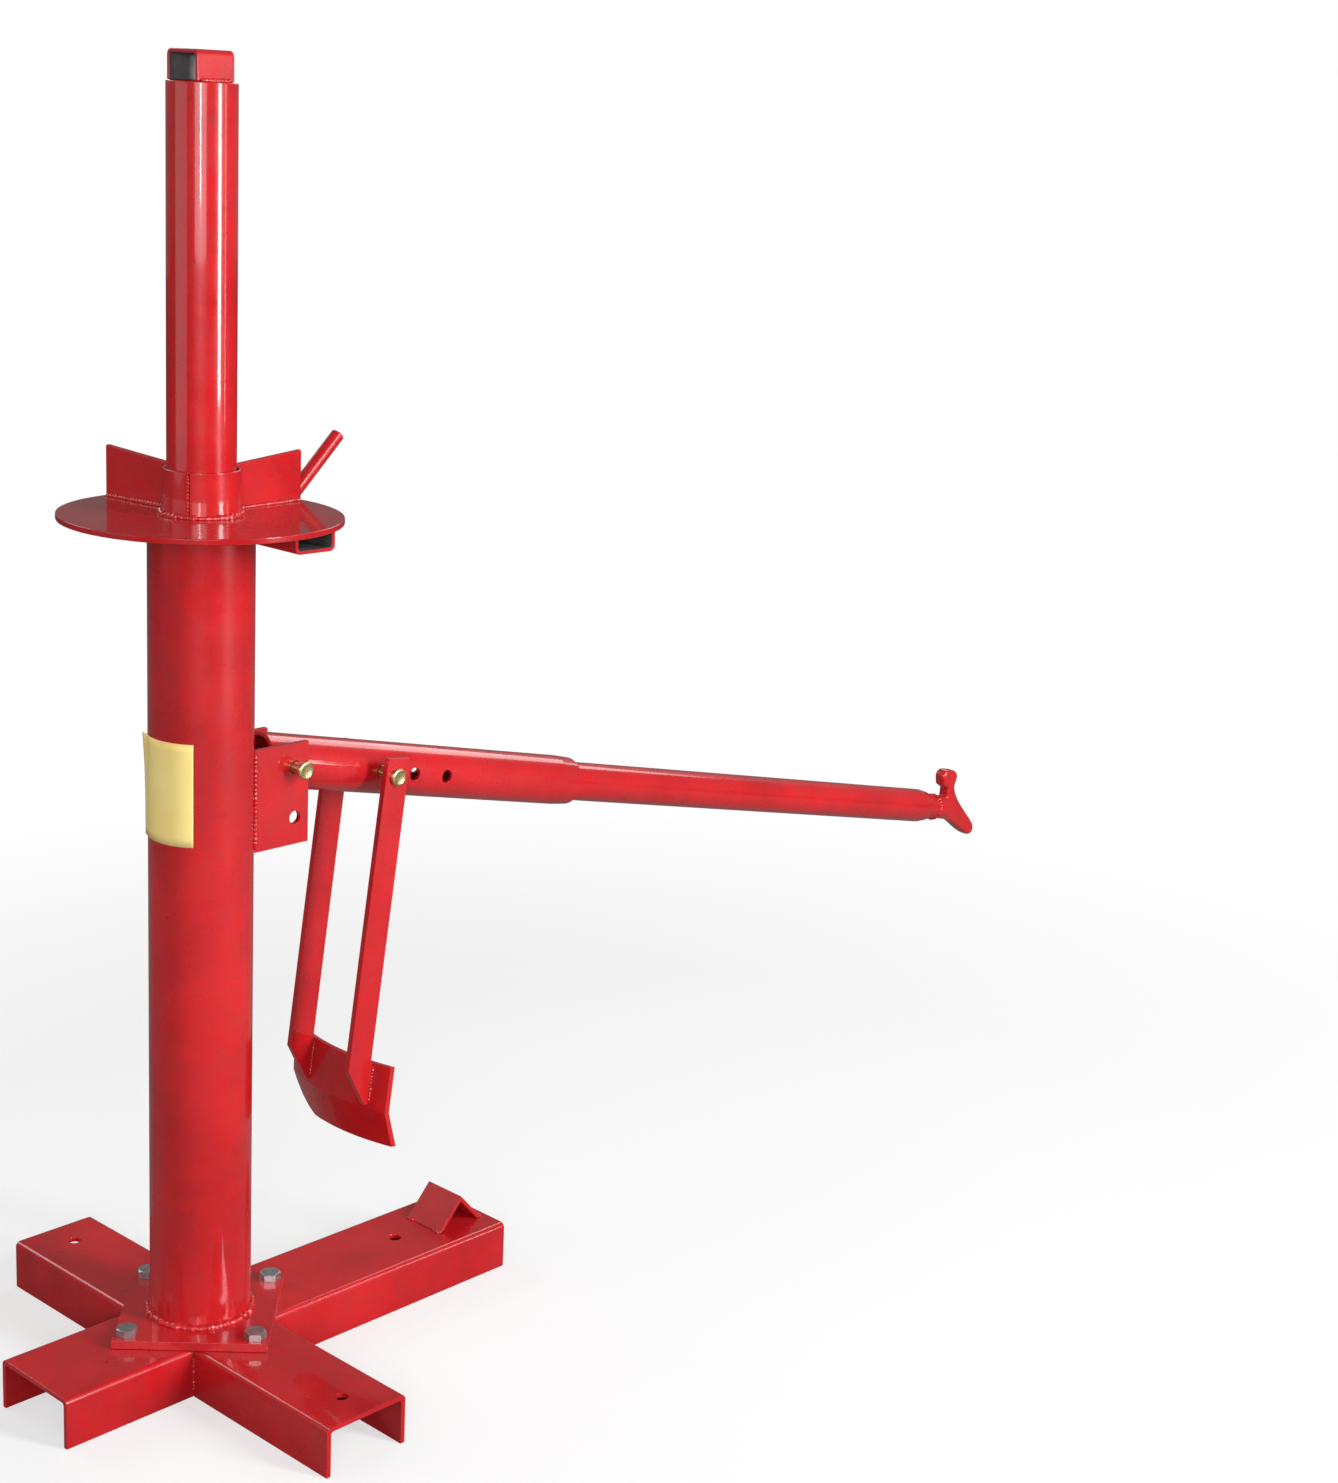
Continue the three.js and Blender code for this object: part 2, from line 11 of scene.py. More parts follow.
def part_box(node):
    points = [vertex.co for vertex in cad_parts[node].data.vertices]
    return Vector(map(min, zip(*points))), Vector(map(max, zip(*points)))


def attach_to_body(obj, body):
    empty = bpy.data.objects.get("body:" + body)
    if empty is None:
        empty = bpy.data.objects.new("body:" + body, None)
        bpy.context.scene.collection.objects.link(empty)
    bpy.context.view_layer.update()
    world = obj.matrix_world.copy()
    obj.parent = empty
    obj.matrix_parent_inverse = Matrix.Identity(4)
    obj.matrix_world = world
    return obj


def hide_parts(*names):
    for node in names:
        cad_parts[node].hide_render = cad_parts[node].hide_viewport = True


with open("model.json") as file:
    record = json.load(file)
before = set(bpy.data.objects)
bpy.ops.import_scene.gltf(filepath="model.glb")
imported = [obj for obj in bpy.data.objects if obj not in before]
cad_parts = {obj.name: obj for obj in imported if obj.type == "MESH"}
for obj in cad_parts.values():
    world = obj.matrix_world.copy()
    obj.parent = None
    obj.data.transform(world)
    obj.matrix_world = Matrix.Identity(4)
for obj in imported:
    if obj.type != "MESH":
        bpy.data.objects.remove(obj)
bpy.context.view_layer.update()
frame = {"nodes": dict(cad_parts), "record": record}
NODES = frame["nodes"]
JOINTS = {joint["name"]: joint for joint in frame["record"]["behaviour"]["joints"]}
BODY_OF = {
    node: body
    for body, names in frame["record"]["behaviour"]["bodies"].items()
    for node in names
}
SLOT_OF = {row["node"]: row["material_slot"] for row in frame["record"]["subparts"]}

MM = 0.001
WELD = 3.0 * MM  # radius of a normal weld bead
RIPPLE = 6  # points along one ripple of a bead

# The camera stands about two metres from the column, level with the mast's top.
CAMERA_FROM_COLUMN = (-1.2304, -1.6359, 1.1272)
CAMERA_AZIMUTH = -48.07
CAMERA_PITCH = 14.70
CAMERA_ROLL = 2.94
CAMERA_LENS = 66.27
SENSOR = 36.0

FLOOR_REACH = 12.0
FADE_START = 0.75  # the floor turns to plain white between these distances from the part
FADE_END = 1.5
LIGHT_AIM = 0.6  # height on the column that the lights point at
WORLD_LIGHT = 0.16  # how bright the surroundings are to the paint; the eye sees them white

# Sizes that the frame doesn't hold.
COLLAR_SEAM = math.radians(-147)  # where the rolled collar's ends meet
SHOE_TILT = math.radians(7.9)  # how far the shoe leans from upright
SHOE_BAR_THICK = 6 * MM
SHOE_BAR_INSIDE = 38 * MM  # from the shoe's middle to each bar's inner face
BLADE_CURVE = 180 * MM  # radius of the blade's inner face, seen from above
BLADE_MIDDLE = 13.6 * MM  # how far the blade's middle stands from the shoe's upright line
BLADE_TOP = -271 * MM  # where the beads on the shoe bars start and end, under the pin
BLADE_FOOT = -306 * MM
FIN_REACH = 112 * MM  # where a fin's beads end, from the column's middle
FIN_HALF = 3.1 * MM  # half of a fin's thickness, with the bead's own seat
BAR_END = 1008.2 * MM  # where the bar extension meets its head, from the pivot
BAR_NECK_R = 13.2 * MM
HEX_FLATS = 17 * MM
SHANK_R = 4.7 * MM
NUT_BORE = 5 * MM
PIN_R = 5.4 * MM
PIN_HEAD_R = 8 * MM
PIN_HEAD = 3.5 * MM
LABEL_START = math.radians(144.5)
LABEL_END = math.radians(224.8)


# ---- places taken from the frame ----
def centre(node):
    low_corner, high_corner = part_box(node)
    return (Vector(low_corner) + Vector(high_corner)) / 2


def low(node):
    return Vector(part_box(node)[0])


def high(node):
    return Vector(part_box(node)[1])


AXIS = centre("column_tube")  # the column's centre line
COLUMN_R = (high("column_tube") - AXIS).x
COLLAR_R = (high("mast_collar") - centre("mast_collar")).y
DISC_TOP = high("wheel_rest_disc").z
DISC_BOTTOM = low("wheel_rest_disc").z
PLATE_TOP = high("base_plate").z
LEG_TOP = high("base_long_channel").z
PIVOT = Vector(JOINTS["lever_pivot"]["pos_m"])
SHOE_PIN = Vector(JOINTS["shoe_swing"]["pos_m"])
ALONG_LEVER = Vector(JOINTS["bar_slide"]["axis"])
PIN_SLIDE = JOINTS["locking_pin_slide"]["axis"]
TURN = math.atan2(PIN_SLIDE[1], PIN_SLIDE[0])  # how far the disc's fittings are turned from the legs


# ---- node helpers ----
def new_material(name):
    material = bpy.data.materials.new(name)
    material.use_nodes = True
    return material, material.node_tree, material.node_tree.nodes["Principled BSDF"]


def noise(tree, scale, detail=4.0, roughness=0.55, stretch=None):
    """Noise in the object's own coordinates, so the pattern moves with the piece."""
    coords = tree.nodes.new("ShaderNodeTexCoord")
    node = tree.nodes.new("ShaderNodeTexNoise")
    node.inputs["Scale"].default_value = scale
    node.inputs["Detail"].default_value = detail
    node.inputs["Roughness"].default_value = roughness
    source = coords.outputs["Object"]
    if stretch:
        mapping = tree.nodes.new("ShaderNodeMapping")
        mapping.inputs["Scale"].default_value = stretch
        tree.links.new(source, mapping.inputs["Vector"])
        source = mapping.outputs["Vector"]
    tree.links.new(source, node.inputs["Vector"])
    return node.outputs["Fac"]


def ramp(tree, source, stops):
    node = tree.nodes.new("ShaderNodeValToRGB")
    elements = node.color_ramp.elements
    while len(elements) < len(stops):
        elements.new(0.5)
    for element, (place, colour) in zip(elements, stops):
        element.position = place
        element.color = (*colour, 1)
    tree.links.new(source, node.inputs["Fac"])
    return node.outputs["Color"]


def grey(value):
    return (value, value, value)


def blend_colours(tree, factor, first, second):
    node = tree.nodes.new("ShaderNodeMix")
    node.data_type = "RGBA"
    tree.links.new(factor, node.inputs["Factor"])
    tree.links.new(first, node.inputs["A"])
    tree.links.new(second, node.inputs["B"])
    return node.outputs["Result"]


def bumps(tree, shader, layers):
    """Stacks layers of (height, strength, depth in metres) into the shader's normal."""
    previous = None
    for height, strength, depth in layers:
        node = tree.nodes.new("ShaderNodeBump")
        node.inputs["Strength"].default_value = strength
        node.inputs["Distance"].default_value = depth
        tree.links.new(height, node.inputs["Height"])
        if previous:
            tree.links.new(previous, node.inputs["Normal"])
        previous = node.outputs["Normal"]
    tree.links.new(previous, shader.inputs["Normal"])


# ---- materials ----
def red_enamel(name, weld=False, unevenness=0.16, coat=0.8):
    """Sprayed enamel: slight orange peel, an uneven film, small chips down to dark primer."""
    material, tree, shader = new_material(name)
    film = noise(tree, 7, 4, 0.65)
    thick = ramp(tree, film, [(0.3, (0.45, 0.006, 0.010)), (0.7, (0.64, 0.012, 0.016))])
    dusty = ramp(tree, film, [(0.3, (0.34, 0.010, 0.012)), (0.7, (0.53, 0.022, 0.024))])
    mottle = ramp(tree, noise(tree, 48, 7, 0.7), [(0.42, grey(0)), (0.7, grey(0.8))])
    paint = blend_colours(tree, mottle, thick, dusty)
    chips = ramp(tree, noise(tree, 75, 7, 0.64), [(0.70, grey(0)), (0.715, grey(1))])
    primer = ramp(tree, noise(tree, 200, 2), [(0.3, (0.15, 0.010, 0.010)), (0.7, (0.26, 0.02, 0.02))])
    tree.links.new(blend_colours(tree, chips, paint, primer), shader.inputs["Base Color"])
    smudge = ramp(tree, noise(tree, 26, 5, 0.6), [(0.3, grey(0.2)), (0.75, grey(0.4))])
    tree.links.new(smudge, shader.inputs["Roughness"])
    shader.inputs["Specular IOR Level"].default_value = 0.3
    shader.inputs["Coat Weight"].default_value = coat
    shader.inputs["Coat Roughness"].default_value = 0.05
    peel = noise(tree, 420, 2, 0.5)
    sag = noise(tree, 30, 2, 0.5)
    layers = [(sag, unevenness, 0.0015), (peel, unevenness, 0.0002)]
    if weld:
        layers.append((noise(tree, 900, 3, 0.6), 0.35, 0.0004))
    bumps(tree, shader, layers)
    return material


def bare_steel():
    """Unpainted mill steel inside the mast's bridge and the pin guide, dull and stained."""
    material, tree, shader = new_material("bare_steel")
    scale = noise(tree, 60, 6, 0.65)
    tone = ramp(tree, scale, [(0.3, (0.07, 0.07, 0.075)), (0.7, (0.17, 0.17, 0.18))])
    tree.links.new(tone, shader.inputs["Base Color"])
    shader.inputs["Metallic"].default_value = 0.4
    stain = ramp(tree, scale, [(0.3, grey(0.45)), (0.7, grey(0.65))])
    tree.links.new(stain, shader.inputs["Roughness"])
    bumps(tree, shader, [(noise(tree, 400, 3), 0.3, 0.0003)])
    return material


def plated(name, dark, light, rough):
    """Electroplated steel: cloudy colour, fine tumbling marks."""
    material, tree, shader = new_material(name)
    cloud = noise(tree, 160, 4, 0.6)
    tree.links.new(ramp(tree, cloud, [(0.3, dark), (0.7, light)]), shader.inputs["Base Color"])
    shader.inputs["Metallic"].default_value = 0.9
    wear = ramp(tree, noise(tree, 500, 3), [(0.3, grey(rough)), (0.8, grey(rough + 0.2))])
    tree.links.new(wear, shader.inputs["Roughness"])
    bumps(tree, shader, [(noise(tree, 1100, 3), 0.2, 0.0002)])
    return material


def spring_wire():
    """Drawn spring steel, bright, with faint marks along the wire."""
    material, tree, shader = new_material("spring_wire")
    shader.inputs["Metallic"].default_value = 1.0
    drawn = noise(tree, 300, 2, 0.5, stretch=(1, 1, 0.1))
    tone = ramp(tree, drawn, [(0.3, grey(0.42)), (0.7, grey(0.62))])
    tree.links.new(tone, shader.inputs["Base Color"])
    shader.inputs["Roughness"].default_value = 0.24
    bumps(tree, shader, [(drawn, 0.15, 0.0001)])
    return material


def label_film(name, dark, light):
    """Slightly yellowed satin film with faint scuffs."""
    material, tree, shader = new_material(name)
    age = noise(tree, 14, 5, 0.6)
    tree.links.new(ramp(tree, age, [(0.3, dark), (0.7, light)]), shader.inputs["Base Color"])
    shader.inputs["Roughness"].default_value = 0.42
    bumps(tree, shader, [(noise(tree, 90, 3), 0.12, 0.0003)])
    return material


RED = red_enamel("red_enamel")
RED_WELD = red_enamel("red_enamel_weld", weld=True)
RED_ROD = red_enamel("red_enamel_rod", unevenness=0.02, coat=0.2)
STEEL = bare_steel()
ZINC = plated("zinc_plate", (0.36, 0.36, 0.36), (0.58, 0.58, 0.59), 0.32)
YELLOW_ZINC = plated("yellow_zinc_plate", (0.50, 0.36, 0.14), (0.66, 0.56, 0.33), 0.24)
WIRE = spring_wire()
FILM = label_film("label_film", (1.0, 0.73, 0.22), (1.0, 0.86, 0.36))
FINISH = {
    "red_enamel": RED,
    "zinc_bolts": ZINC,
    "yellow_zinc": YELLOW_ZINC,
    "spring_steel": WIRE,
    "label_film": FILM,
}


# ---- mesh helpers ----
def add_object(name, mesh, material, smooth_angle=32):
    mesh.materials.clear()
    mesh.materials.append(material)
    obj = bpy.data.objects.new(name, mesh)
    bpy.context.scene.collection.objects.link(obj)
    mesh.shade_smooth()
    mesh.set_sharp_from_angle(angle=math.radians(smooth_angle))
    return obj


def mesh_from(bm, name):
    bmesh.ops.recalc_face_normals(bm, faces=bm.faces)
    mesh = bpy.data.meshes.new(name)
    bm.to_mesh(mesh)
    bm.free()
    return mesh


def attach(obj, body, slot, *nodes):
    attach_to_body(obj, body)
    if nodes:
        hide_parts(*nodes)
    return obj


def clean_copy(node):
    """The node's own shape as joined faces, with the flat ones merged."""
    bm = bmesh.new()
    bm.from_mesh(NODES[node].data)
    bmesh.ops.remove_doubles(bm, verts=bm.verts, dist=0.01 * MM)
    bmesh.ops.dissolve_limit(
        bm, angle_limit=math.radians(0.6), verts=bm.verts, edges=bm.edges, delimit={"NORMAL"}
    )
    return mesh_from(bm, node + "_mesh")


def wire_clip(node):
    """Rounds the clip's faceted wire."""
    obj = add_object(node + "_wire", clean_copy(node), WIRE, 180)
    rounded = obj.modifiers.new("rounded", "SUBSURF")
    rounded.levels = rounded.render_levels = 2
    attach(obj, BODY_OF[node], SLOT_OF[node], node)


def dress(node, material=None, round_off=0.8):
    """Replaces a node by its own shape in its finish, its edges rounded off by so many millimetres."""
    obj = add_object(node + "_shell", clean_copy(node), material or FINISH[SLOT_OF[node]])
    bevel = obj.modifiers.new("edges", "BEVEL")
    bevel.width = round_off * MM
    bevel.segments = 2
    bevel.limit_method = "ANGLE"
    bevel.angle_limit = math.radians(34)
    bevel.harden_normals = True
    bevel.miter_outer = "MITER_ARC"
    return attach(obj, BODY_OF[node], SLOT_OF[node], node)


def sweep(path, radii, sides=10, closed=False):
    """A tube along path with its own radius at each point."""
    bm = bmesh.new()
    rings = []
    count = len(path)
    normal = None
    for i, point in enumerate(path):
        ahead = path[(i + 1) % count] if closed or i < count - 1 else point
        behind = path[i - 1] if closed or i > 0 else point
        along = (ahead - behind).normalized()
        if normal is None:
            normal = along.orthogonal().normalized()
        normal = (normal - along * normal.dot(along)).normalized()
        side = along.cross(normal)
        ring = []
        for k in range(sides):
            angle = 2 * math.pi * k / sides
            offset = normal * math.cos(angle) + side * math.sin(angle)
            ring.append(bm.verts.new(point + offset * radii[i]))
        rings.append(ring)
    last = count if closed else count - 1
    for i in range(last):
        for k in range(sides):
            a, b = rings[i], rings[(i + 1) % count]
            bm.faces.new((a[k], a[(k + 1) % sides], b[(k + 1) % sides], b[k]))
    if not closed:
        bm.faces.new(list(reversed(rings[0])))
        bm.faces.new(rings[-1])
    return bm


# ---- weld beads ----
def resample(points, step, closed):
    """Points every step along a polyline."""
    ends = points + [points[0]] if closed else points
    out, spare = [], 0.0
    for start, end in zip(ends, ends[1:]):
        length = (end - start).length
        place = spare
        while place < length:
            out.append(start.lerp(end, place / length))
            place += step
        spare = place - length
    if not closed:
        out.append(ends[-1])
    return out


def weld(name, points, body, size=WELD, closed=False, seed=1):
    """A hand-laid bead: ripples with an uneven width on a wandering line, thinner at open ends."""
    rng = random.Random(seed)
    path = resample(points, size * 0.3, closed)
    drift, swell, radii, spots = 0.0, 0.0, [], []
    for i, point in enumerate(path):
        drift = 0.85 * drift + 0.15 * rng.uniform(-1, 1)
        if i % RIPPLE == 0:
            swell = rng.uniform(-0.16, 0.2)
        ripple = math.sin(math.pi * (i % RIPPLE) / RIPPLE)
        radii.append(size * (0.74 + 0.24 * ripple + swell + 0.3 * drift))
        wander = Vector([rng.uniform(-1, 1) for _ in range(3)]) * size * 0.05
        spots.append(point + wander)
    if not closed:
        for i in range(3):
            shrink = 0.45 + 0.2 * i
            radii[i] *= shrink
            radii[-1 - i] *= shrink
    bm = sweep(spots, radii, sides=10, closed=closed)
    obj = add_object(name, mesh_from(bm, name), RED_WELD, 80)
    return attach(obj, body, "red_enamel")


def circle(middle, radius, z, count=72):
    turns = [2 * math.pi * i / count for i in range(count)]
    return [
        Vector((middle.x + radius * math.cos(turn), middle.y + radius * math.sin(turn), z))
        for turn in turns
    ]


def on_disc(radial, sideways, z, turn):
    """A point on the disc in a fitting's own turned directions."""
    spin = Matrix.Rotation(turn, 3, "Z")
    flat = spin @ Vector((radial, sideways, 0))
    return Vector((AXIS.x + flat.x, AXIS.y + flat.y, z))


def column_welds():
    """Rings at the column's foot and head and the collar's foot, and the collar's seam."""
    lift = 0.4 * WELD
    weld("weld_column_foot", circle(AXIS, COLUMN_R + 0.8 * MM, PLATE_TOP + lift), "stand",
         size=4.2 * MM, closed=True, seed=3)
    weld("weld_column_head", circle(AXIS, COLUMN_R + 0.4 * MM, DISC_BOTTOM - lift), "stand",
         closed=True, seed=4)
    weld("weld_collar_foot", circle(AXIS, COLLAR_R + 0.3 * MM, DISC_TOP + lift), "stand",
         closed=True, seed=5)
    inset = COLLAR_R - 1.2 * MM
    foot = on_disc(inset, 0, DISC_TOP + 2 * MM, COLLAR_SEAM)
    head = on_disc(inset, 0, high("mast_collar").z - 2 * MM, COLLAR_SEAM)
    weld("weld_collar_seam", [foot, head], "stand", size=1.8 * MM, seed=7)


def fin_welds():
    """Along both sides of each fin's foot and root."""
    inner = COLLAR_R + 3 * MM
    root = COLLAR_R + 0.8 * MM
    foot_z = DISC_TOP + 1 * MM
    root_ends = (DISC_TOP + 4 * MM, high("mast_collar").z - 4 * MM)
    for name, turn, seed in (("right", TURN, 11), ("left", TURN + math.pi / 2, 21)):
        for side in (-1, 1):
            y = side * FIN_HALF
            foot = [on_disc(radial, y, foot_z, turn) for radial in (inner, FIN_REACH)]
            tag = "near" if side < 0 else "far"
            weld(f"weld_fin_{name}_foot_{tag}", foot, "stand", size=2.0 * MM, seed=seed + side)
            upright = [on_disc(root, y, z, turn) for z in root_ends]
            weld(f"weld_fin_{name}_root_{tag}", upright, "stand", seed=seed + 4 + side)


def bracket_welds():
    """Down each bracket plate's edge, where it meets the column."""
    for name, side in (("left", 1), ("right", -1)):
        low_corner, high_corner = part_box(f"bracket_plate_{name}")
        outer = high_corner[1] if side > 0 else low_corner[1]
        x = AXIS.x + math.sqrt(COLUMN_R**2 - outer**2)
        spot = Vector((x + 1.2 * MM, outer + side * 0.4 * MM, 0))
        ends = [spot + Vector((0, 0, z)) for z in (low_corner[2] + 3 * MM, high_corner[2] - 3 * MM)]
        weld(f"weld_bracket_{name}", ends, "stand", size=2.2 * MM, seed=31 + side)


def base_welds():
    """Up each corner where a cross leg meets the long leg."""
    edge = high("base_long_channel").y
    width = high("base_cross_channel_left").x - AXIS.x
    for name, side in (("left", 1), ("right", -1)):
        for end in (-1, 1):
            x = AXIS.x + end * (width + 0.4 * MM)
            y = side * (edge + 0.4 * MM)
            ends = [Vector((x, y, 3 * MM)), Vector((x, y, LEG_TOP - 8 * MM))]
            tag = "front" if end > 0 else "back"
            weld(f"weld_leg_{name}_{tag}", ends, "stand", size=1.8 * MM, seed=41 + side + 3 * end)


def chock_welds():
    """A short tack at each corner of the angle iron."""
    tack = 9 * MM
    z = LEG_TOP + 0.6 * MM
    low_corner, high_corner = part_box("wheel_chock_angle")
    for tag, x in (("near", low_corner[0]), ("far", high_corner[0])):
        for end, y, inward in (("right", low_corner[1], tack), ("left", high_corner[1], -tack)):
            ends = [Vector((x, y, z)), Vector((x, y + inward, z))]
            weld(f"weld_chock_{tag}_{end}", ends, "stand", size=1.9 * MM, seed=51)


def socket_welds():
    """Along the two feet of the bridge on the mast's end."""
    low_corner, high_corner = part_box("mast_top_socket")
    z = low_corner[2] + 0.6 * MM
    inset = 3 * MM
    for tag, y in (("near", low_corner[1] - 0.4 * MM), ("far", high_corner[1] + 0.4 * MM)):
        ends = [Vector((x, y, z)) for x in (low_corner[0] + inset, high_corner[0] - inset)]
        weld(f"weld_socket_{tag}", ends, "stand", size=2.0 * MM, seed=61 + int(y > 0))


def shoe_point(x, y, z):
    """A point in the shoe's own upright directions, turned to where the shoe hangs."""
    return SHOE_PIN + Matrix.Rotation(SHOE_TILT, 3, "Y") @ Vector((x, y, z))


def shoe_welds():
    """Along both faces of each shoe bar, where it crosses the blade's curve."""
    for name, side in (("left", 1), ("right", -1)):
        for tag, y in (("inner", SHOE_BAR_INSIDE), ("outer", SHOE_BAR_INSIDE + SHOE_BAR_THICK)):
            x = BLADE_MIDDLE + y * y / (2 * BLADE_CURVE) - 3 * MM
            ends = [shoe_point(x, side * y, z) for z in (BLADE_TOP, BLADE_FOOT)]
            weld(f"weld_shoe_{name}_{tag}", ends, "shoe", size=1.7 * MM, seed=71 + side)


def lever_ring(distance, radius, count=48):
    """Points round the lever's axis, at a distance from its pivot."""
    middle = PIVOT + ALONG_LEVER * distance
    side = Vector((0, 1, 0))
    up = ALONG_LEVER.cross(side).normalized()
    turns = [2 * math.pi * i / count for i in range(count)]
    return [middle + radius * (math.cos(turn) * side + math.sin(turn) * up) for turn in turns]


def bar_welds():
    """A ring where the bar extension meets its head."""
    ring = lever_ring(BAR_END, BAR_NECK_R)
    weld("weld_bar_head", ring, "bar_extension", size=2.5 * MM, closed=True, seed=91)


def guide_welds():
    """Along the guide's two top edges, from its open end to near the column."""
    low_corner, high_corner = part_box("pin_guide_channel")
    z = DISC_BOTTOM - 0.8 * MM
    y = low_corner[1] + 4 * MM
    for tag, x, end in (("near", low_corner[0], -48 * MM), ("far", high_corner[0], -36 * MM)):
        weld(f"weld_guide_{tag}", [Vector((x, y, z)), Vector((x, end, z))], "stand", size=1.8 * MM, seed=82)


# ---- fasteners ----
def skin(bm, rows):
    """Faces between each closed row of points and the next."""
    for first, second in zip(rows, rows[1:]):
        for i in range(len(first)):
            after = (i + 1) % len(first)
            bm.faces.new((first[i], first[after], second[after], second[i]))


def hex_radius(flats, angle):
    """Distance from the middle to a hexagon's side in that direction."""
    sector = (angle + math.pi / 6) % (math.pi / 3) - math.pi / 6
    return flats / 2 / math.cos(sector)


def hex_piece(flats, height, bore=0.0, both_ends=False):
    """A hexagon with turned-off corners, and a hole when bore is given."""
    bm = bmesh.new()
    count = 72
    face = flats * 0.475

    def ring(radius_of, z_of):
        verts = []
        for i in range(count):
            angle = 2 * math.pi * i / count
            r = radius_of(angle + math.pi / 6)
            verts.append(bm.verts.new((r * math.cos(angle), r * math.sin(angle), z_of(r))))
        return verts

    def chamfer(r):
        return max(0.0, (r - face) * 0.5)

    rows = []
    if both_ends:
        rows.append(ring(lambda a: face, lambda r: 0.0))
        rows.append(ring(lambda a: hex_radius(flats, a), chamfer))
    else:
        rows.append(ring(lambda a: hex_radius(flats, a), lambda r: 0.0))
    rows.append(ring(lambda a: hex_radius(flats, a), lambda r: height - chamfer(r)))
    rows.append(ring(lambda a: face, lambda r: height))
    if bore:
        rows.append(ring(lambda a: bore, lambda r: height))
        rows.append(ring(lambda a: bore, lambda r: 0.0))
        rows.append(rows[0])
    skin(bm, rows)
    if not bore:
        bm.faces.new(rows[-1])
        bm.faces.new(list(reversed(rows[0])))
    return bm


def add_thread(bm, radius, bottom, top, pitch=1.5 * MM):
    """Thread-like ridges round a shank, closed at both ends."""
    levels = int((top - bottom) / pitch) * 2 + 1
    sides = 20
    rows = []
    for level in range(levels):
        z = bottom + level * pitch / 2
        r = radius if level % 2 == 0 else radius * 0.88
        turns = [2 * math.pi * i / sides for i in range(sides)]
        rows.append([bm.verts.new((r * math.cos(turn), r * math.sin(turn), z)) for turn in turns])
    skin(bm, rows)
    bm.faces.new(rows[-1])
    bm.faces.new(list(reversed(rows[0])))


def base_fasteners():
    """The bolts with their threads, and the nuts under the base plate."""
    for i in range(1, 5):
        turn = 0.35 + 0.7 * (i - 1)  # each head stopped at its own angle
        bolt = f"base_bolt_{i}"
        spot = centre(bolt)
        head_height = high(bolt).z - PLATE_TOP
        lift = 0.2 * MM
        bm = hex_piece(HEX_FLATS, head_height - lift)
        bmesh.ops.translate(bm, verts=bm.verts, vec=(0, 0, PLATE_TOP + lift))
        add_thread(bm, SHANK_R, low(bolt).z, PLATE_TOP - 1 * MM)
        place_fastener(bm, bolt, spot, turn)
        nut = f"base_nut_{i}"
        bm = hex_piece(HEX_FLATS, high(nut).z - low(nut).z, bore=NUT_BORE, both_ends=True)
        bmesh.ops.translate(bm, verts=bm.verts, vec=(0, 0, low(nut).z))
        place_fastener(bm, nut, spot, turn + 0.3)


def place_fastener(bm, node, spot, turn):
    spin = Matrix.Translation((spot.x, spot.y, 0)) @ Matrix.Rotation(turn, 4, "Z")
    bmesh.ops.transform(bm, verts=bm.verts, matrix=spin)
    obj = add_object(node + "_detail", mesh_from(bm, node), ZINC, 25)
    attach(obj, BODY_OF[node], SLOT_OF[node], node)


def turned_pin(node, at):
    """A headed pin: a head with a slight dish and rounded rim, a shank with a chamfered nose."""
    start, end = low(node).y, high(node).y
    profile = [
        (PIN_HEAD_R - 3.0 * MM, start + 0.5 * MM),
        (PIN_HEAD_R - 1.8 * MM, start),
        (PIN_HEAD_R - 0.6 * MM, start + 0.3 * MM),
        (PIN_HEAD_R, start + 1.1 * MM),
        (PIN_HEAD_R, start + PIN_HEAD - 0.3 * MM),
        (PIN_HEAD_R - 0.3 * MM, start + PIN_HEAD),
        (PIN_R, start + PIN_HEAD),
        (PIN_R, end - 1.6 * MM),
        (PIN_R - 1.4 * MM, end),
    ]
    bm = bmesh.new()
    sides = 40
    rows = []
    turns = [2 * math.pi * i / sides for i in range(sides)]
    for radius, y in profile:
        spots = [(at.x + radius * math.cos(turn), y, at.z + radius * math.sin(turn)) for turn in turns]
        rows.append([bm.verts.new(spot) for spot in spots])
    skin(bm, rows)
    bm.faces.new(rows[0])
    bm.faces.new(list(reversed(rows[-1])))
    obj = add_object(node + "_detail", mesh_from(bm, node), YELLOW_ZINC, 30)
    attach(obj, BODY_OF[node], SLOT_OF[node], node)


# ---- forged and film pieces ----
def bar_head():
    """Rounds the duck head off like a forging."""
    obj = add_object("bar_head_forging", clean_copy("bar_head"), RED, 60)
    remesh = obj.modifiers.new("blend", "REMESH")
    remesh.mode = "VOXEL"
    remesh.voxel_size = 0.9 * MM
    remesh.use_smooth_shade = True
    soften = obj.modifiers.new("soften", "SMOOTH")
    soften.factor = 0.5
    soften.iterations = 4
    attach(obj, BODY_OF["bar_head"], SLOT_OF["bar_head"], "bar_head")


